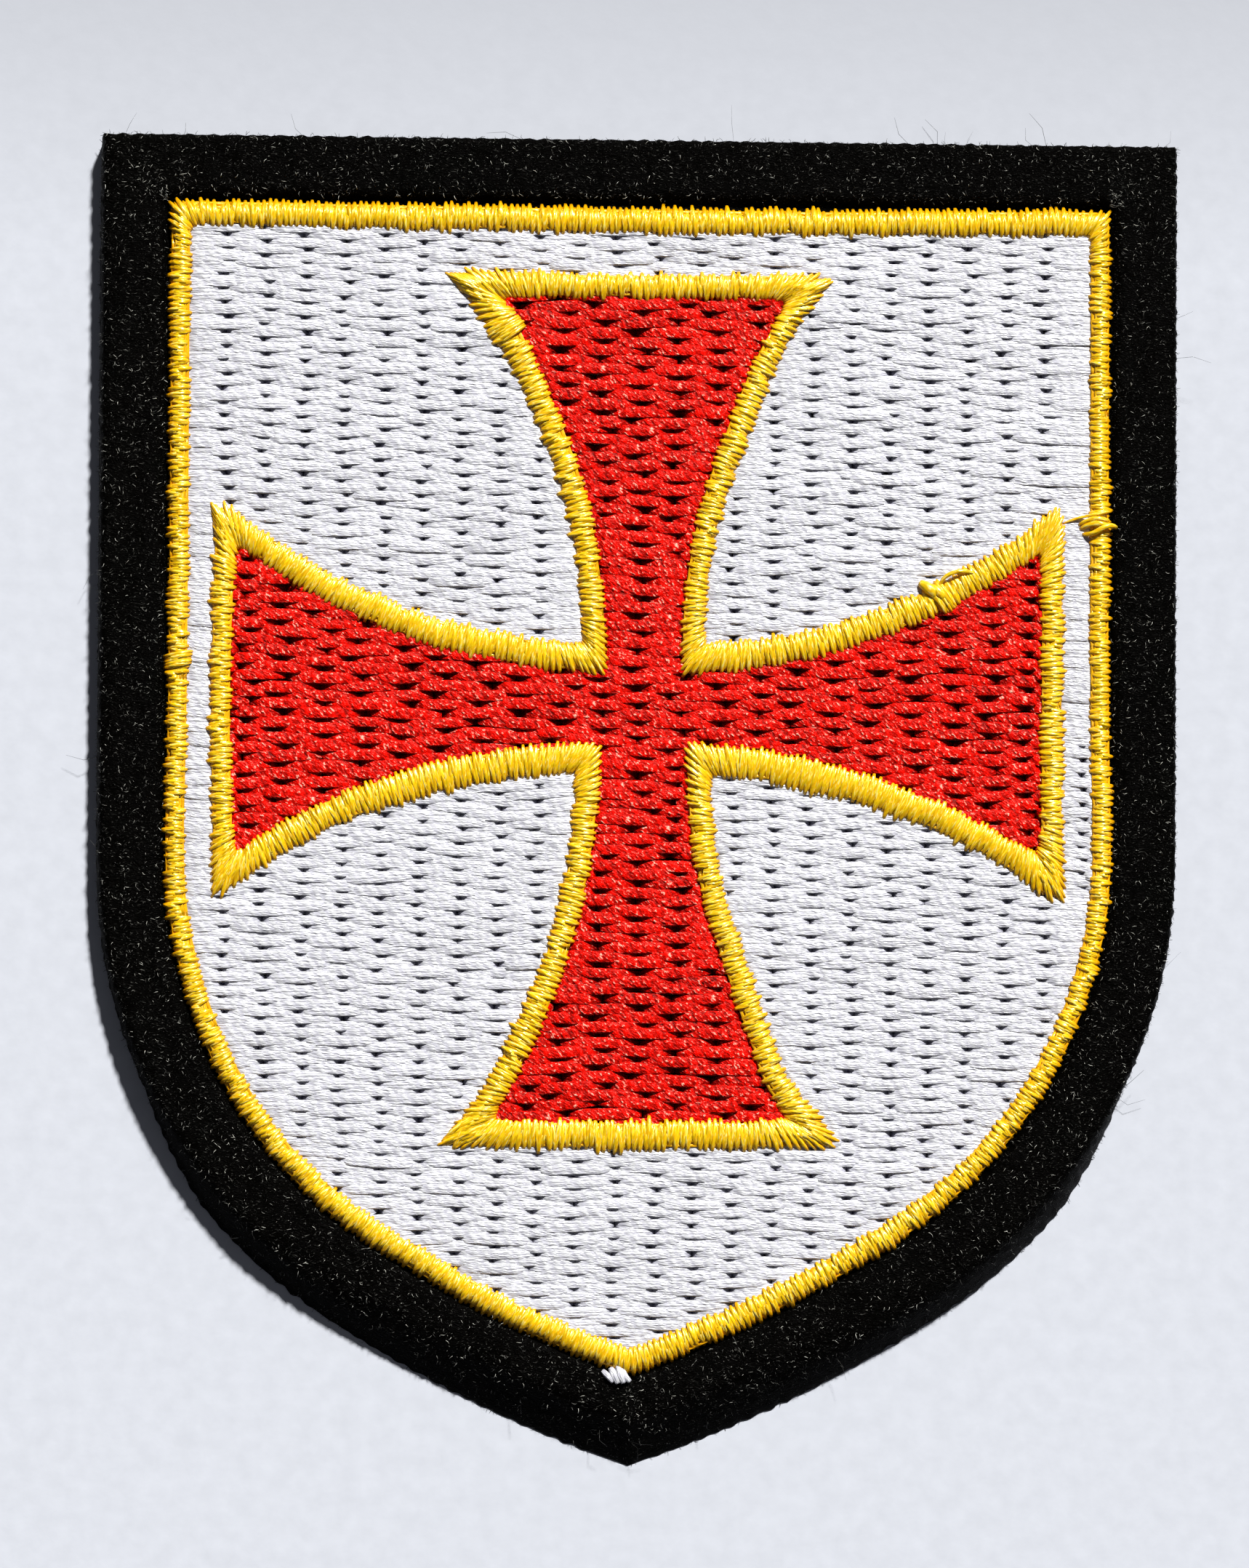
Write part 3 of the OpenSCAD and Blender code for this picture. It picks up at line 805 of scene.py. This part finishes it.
# Threads that lie slanting over the others where the sewing started and ended
def lapEnds(place, length, rails, rng):
    total, samples = rails["total"], len(rails["s"])
    middle = np.linalg.norm(rails["centre"] - place, axis=1).argmin()
    reach = np.arange(-length / 2, length / 2, satin["lapEvery"])
    index = (middle + np.round(reach / total * samples).astype(int)) % samples
    skew = int(satin["lapSkew"] / total * samples)
    over = rng.uniform(*satin["lapOver"], (2, len(index), 1))
    a = rails["inner"][index] - rails["normal"][index] * over[0]
    return a, rails["outer"][(index + skew) % samples] + rails["normal"][index] * over[1]


def satinBand(name, path, band, crown, material, node):
    rng = np.random.default_rng(band["seed"])
    rails = satinRails(path, band, rng)
    total, samples = rails["total"], len(rails["s"])
    count = int(total / band["spacing"] / 2) * 2
    at = (np.arange(count) + rng.normal(0, band["alongSpread"] / band["spacing"], count)) * total / count
    index = np.round(at / total * samples).astype(int) % samples
    outerSide = (np.arange(count) % 2 == 1)[:, None]
    needles = np.where(outerSide, rails["outer"][index], rails["inner"][index])
    spread = rails["calm"][index] * rng.normal(0, band["endSpread"], count)[:, None]
    upright = np.where(outerSide, 0, rails["normal"][index][:, :1] ** 2)
    spread = spread + np.abs(spread) * upright * band["ragged"]
    needles = needles + rails["normal"][index] * spread
    after = np.roll(needles, -1, 0)

    def threadsTo(others, lift=0.0):
        a, b = np.where(outerSide, others, needles), np.where(outerSide, needles, others)
        return archedThreads(a, b, band, crown, rng, lift)

    def addPiece(name, points, widths, node=None):
        heights = np.full_like(widths, band["height"])
        tints = rng.normal(1, band["tintSpread"], len(points))
        base = baseTube(satin["sides"], len(satin["steps"]))
        threadPiece(name, base, points, widths, heights, tints, material, node)

    parts = [threadsTo(after)]
    for tip in band["tips"]:
        a, b = tipEnds(np.array(tip), rails, band, rng)
        parts.append(archedThreads(a, b, band, crown, rng, satin["tipLift"]))
    for place, length in band["laps"]:
        a, b = lapEnds(place, length, rails, rng)
        parts.append(archedThreads(a, b, band, crown, rng, satin["lapLift"]))
    under = underlayThreads(rails, band, crown)
    parts.append((under, np.full(under.shape[:2], satin["underWidth"])))
    addPiece(name, np.concatenate([p for p, w in parts]), np.concatenate([w for p, w in parts]), node)
    # the inlay: from each needle hole to midway between the two opposite it
    middle = (np.roll(needles, 1, 0) + after) / 2
    middle = middle + (needles - middle) * satin["inlayIn"]
    addPiece(name + "_inlay", *threadsTo(middle, satin["inlayLift"]))


white = threadMaterial("whiteThread", whiteLook)
red = threadMaterial("redThread", redLook)
gold = threadMaterial("goldThread", goldLook)


def topOf(node):
    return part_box(node)[1].z / mm


# Edge of a satin band, a little under its threads: side is 1 for its outer edge and -1 for its inner one
def tuckedEdge(path, band, tuck, side):
    return grown(path, side * (band["sideW"] / 2 - tuck), side * (band["flatW"] / 2 - tuck))


borderSewn = pulled(borderPath, border["pulls"])
crossSewn = pulled(crossPath, outline["pulls"])
fieldEdges = [tuckedEdge(borderSewn, border, field["tuck"], -1),
              tuckedEdge(crossSewn, outline, field["tuck"], 1)]
crossEdges = [tuckedEdge(crossSewn, outline, crossFill["tuck"], -1)]
fillStitches("field_stitches", field, fieldEdges, topOf("field_fill"), white, "field_fill")
fillStitches("cross_stitches", crossFill, crossEdges, topOf("cross_fill"), red, "cross_fill")
satinBand("border_satin", borderSewn, border, topOf("shield_border"), gold, "shield_border")
satinBand("cross_satin", crossSewn, outline, topOf("cross_outline"), gold, "cross_outline")


# Loose threads: the knots, the curl and the jump stitch in gold, and white ends at the point.
# Each run has its width and its points.
looseShape = {
    "sides": 8, "rings": 13, "rounds": 2,   # how often the bends are rounded
    "endShare": 0.45, "endIn": 0.12,        # width at the ends, and how far into the swelling they start
    "flat": 0.7, "tints": (0.95, 1.05),
}
looseGold = {
    "nub": (0.62, [(15.6, 11.93, 2.1), (15.94, 11.72, 2.3), (16.3, 11.42, 2.34), (16.66, 11.06, 2.15)]),
    "nubSide": (0.5, [(16.2, 11.75, 2.16), (16.52, 11.52, 2.36), (16.8, 11.22, 2.38), (16.91, 10.9, 2.15)]),
    "curl": (0.24, [(16.67, 11.6, 2.1), (16.76, 12.06, 2.32), (17.04, 12.34, 2.42), (17.48, 12.54, 2.44),
                    (18.09, 12.63, 2.42), (18.7, 12.46, 2.2)]),
    "jump": (0.17, [(23.6, 15.3, 1.98), (24.02, 15.48, 2.1), (24.5, 15.64, 2.16), (25.01, 15.75, 2.3),
                    (25.6, 15.87, 2.42), (26.2, 15.98, 2.3)]),
    "knotTop": (0.26, [(24.53, 15.24, 2.02), (24.83, 15.44, 2.2), (25.21, 15.59, 2.36), (25.65, 15.63, 2.44),
                       (26.2, 15.5, 2.3)]),
    "knotMiddle": (0.3, [(24.6, 15.02, 2.02), (24.94, 15.23, 2.24), (25.36, 15.34, 2.44), (25.8, 15.3, 2.5),
                         (26.22, 15.18, 2.42), (26.66, 15.12, 2.16)]),
    "knotLow": (0.3, [(24.76, 14.74, 2.02), (25.1, 14.7, 2.24), (25.48, 14.85, 2.44), (25.88, 15.13, 2.54),
                      (26.34, 15.26, 2.46), (26.64, 15.14, 2.2)]),
}
looseWhite = {
    "shardLeft": (0.34, [(-1.95, -31.95, 2.0), (-1.6, -32.3, 2.16), (-1.36, -32.58, 2.2)]),
    "shardInner": (0.42, [(-1.5, -31.8, 2.02), (-1.25, -32.29, 2.2), (-1.08, -32.66, 2.22)]),
    "shardRight": (0.42, [(-1.1, -31.7, 2.05), (-0.98, -32.2, 2.22), (-0.78, -32.64, 2.22)]),
    "shardEnd": (0.36, [(-0.86, -31.85, 2.05), (-0.7, -32.29, 2.2), (-0.42, -32.56, 2.2)]),
}


def looseThreads(name, runs, material):
    rings, endShare, endIn = looseShape["rings"], looseShape["endShare"], looseShape["endIn"]
    swelling = endShare + (1 - endShare) * np.sin(np.linspace(endIn, math.pi - endIn, rings)) ** 0.5
    points, widths = [], []
    for width, places in runs.values():
        places = np.array(places)
        reach = np.concatenate([[0], np.cumsum(np.linalg.norm(np.diff(places, axis=0), axis=1))])
        s = np.linspace(0, reach[-1], rings)
        line = np.stack([np.interp(s, reach, places[:, k]) for k in range(3)], -1)
        for _ in range(looseShape["rounds"]):
            line[1:-1] = (line[:-2] + 2 * line[1:-1] + line[2:]) / 4
        points.append(line)
        widths.append(width * swelling)
    points, widths = np.array(points), np.array(widths)
    tints = np.linspace(*looseShape["tints"], len(points))
    base = baseTube(looseShape["sides"], rings)
    threadPiece(name, base, points, widths, widths * looseShape["flat"], tints, material)


looseThreads("thread_ends", looseGold, gold)
looseThreads("thread_shards", looseWhite, white)


# Nap: short bent fibres over the felt's face and out of its cut edge, and a few long stray hairs
nap = {
    "onFace": 10500, "onCut": 3600, "stray": 34,
    "faceLong": (0.06, 0.3), "cutLong": (0.1, 0.35), "strayLong": (0.9, 2.2),
    "faceIn": (0.01, 0.97), "cutIn": 0.05, "strayIn": 0.1,          # how far in they start
    "faceLevel": (-0.05, 0.05), "strayFrom": 0.3, "lowest": 0.02,
    "faceClimb": (0.0, 0.35), "cutClimb": (-0.2, 0.3), "strayClimb": (0, 0.2),
    "lowShare": 0.2,                                                # below it they lie level
    "cutTurn": 0.9, "strayTurn": 1.0, "bend": 1.1,
    "thick": 0.03, "taper": (0.8, 1, 0.5), "thickRange": (0.6, 1.3), "strayThin": 0.7, "sides": 3,
    "darkPower": 4, "cutPale": 0.15,                                # few are pale, a colour that partly stands in for their glints (painted glints), and fewer on the cut
    "dark": (0.0008, 0.0008, 0.0006), "palePaintedGlint": (0.85, 0.85, 0.76), "roughness": 0.22, "gloss": 0.8,
    "seed": 41,
}


def fibreMaterial():
    material, tree = newMaterial("feltFibre")
    tint = put(tree, "Attribute", attribute_name="tint").outputs["Fac"]
    # pale fibres: lighter fibres whose pale colour also stands in for glints (painted glints)
    color = mixColors(tree, tint, nap["dark"], nap["palePaintedGlint"])
    finishMaterial(tree, {
        "Base Color": color, "Roughness": nap["roughness"], "Specular IOR Level": nap["gloss"],
    })
    return material


# Fibres of three rings that turn as they go, and sink again as they rose
def bentFibres(start, heading, climb, length, rng):
    turn = rng.normal(0, nap["bend"], len(start)) / 2
    points = [start]
    for way, rise in ((heading, climb), (heading + turn, -climb)):
        step = np.stack([np.cos(way), np.sin(way), rise], -1)
        points.append(points[-1] + step * (length / 2)[:, None])
    return np.stack(points, 1)


def feltNap(backing, material):
    rng = np.random.default_rng(nap["seed"])
    line, inwards, deep, top = backing["line"], backing["inwards"], backing["deep"], backing["top"]
    around = len(line)

    def fibres(plan, level, heading, climb, long):
        start = np.concatenate([plan, level.reshape(-1, 1)], -1)
        return bentFibres(start, heading, climb, rng.uniform(*long, len(plan)), rng)

    def outOf(i, spread):
        return np.arctan2(-inwards[i][:, 1], -inwards[i][:, 0]) + rng.normal(0, spread, len(i))

    count = nap["onFace"]
    i = rng.integers(0, around, count)
    inward = deep[i][:, 0] * rng.uniform(*nap["faceIn"], count)
    plan = line[i] + inwards[i] * inward[:, None]
    edge = np.minimum(top, felt["wornEdge"] + felt["wornRise"] * inward)
    level = top - backing["worn"][i] * (top - edge) + rng.uniform(*nap["faceLevel"], count)
    heading = rng.uniform(0, 2 * math.pi, count)
    face = fibres(plan, level, heading, rng.uniform(*nap["faceClimb"], count), nap["faceLong"])

    count = nap["onCut"]
    i = rng.integers(0, around, count)
    low = rng.uniform(0, 1, count)
    plan = line[i] * low[:, None] + backing["base"][i] * (1 - low)[:, None] + inwards[i] * nap["cutIn"]
    level = low * (top - backing["worn"][i])
    heading = outOf(i, nap["cutTurn"])
    climb = rng.uniform(*nap["cutClimb"], count) * (low > nap["lowShare"])
    cut = fibres(plan, level, heading, climb, nap["cutLong"])

    count = nap["stray"]
    i = rng.integers(0, around, count)
    plan = line[i] + inwards[i] * nap["strayIn"]
    level = rng.uniform(nap["strayFrom"], top, count)
    heading = outOf(i, nap["strayTurn"])
    stray = fibres(plan, level, heading, rng.uniform(*nap["strayClimb"], count), nap["strayLong"])

    points = np.concatenate([face, cut, stray])
    points[..., 2] = np.maximum(points[..., 2], nap["lowest"])
    thin = np.array(nap["taper"]) * nap["thick"]
    widths = thin[None, :] * rng.uniform(*nap["thickRange"], len(points))[:, None]
    widths[-nap["stray"]:] *= nap["strayThin"]
    tints = rng.uniform(0, 1, len(points)) ** nap["darkPower"]
    tints[nap["onFace"]:] *= nap["cutPale"]
    base = baseTube(nap["sides"], len(thin))
    threadPiece("felt_nap", base, points, widths, widths, tints, material)


feltNap(backing, fibreMaterial())
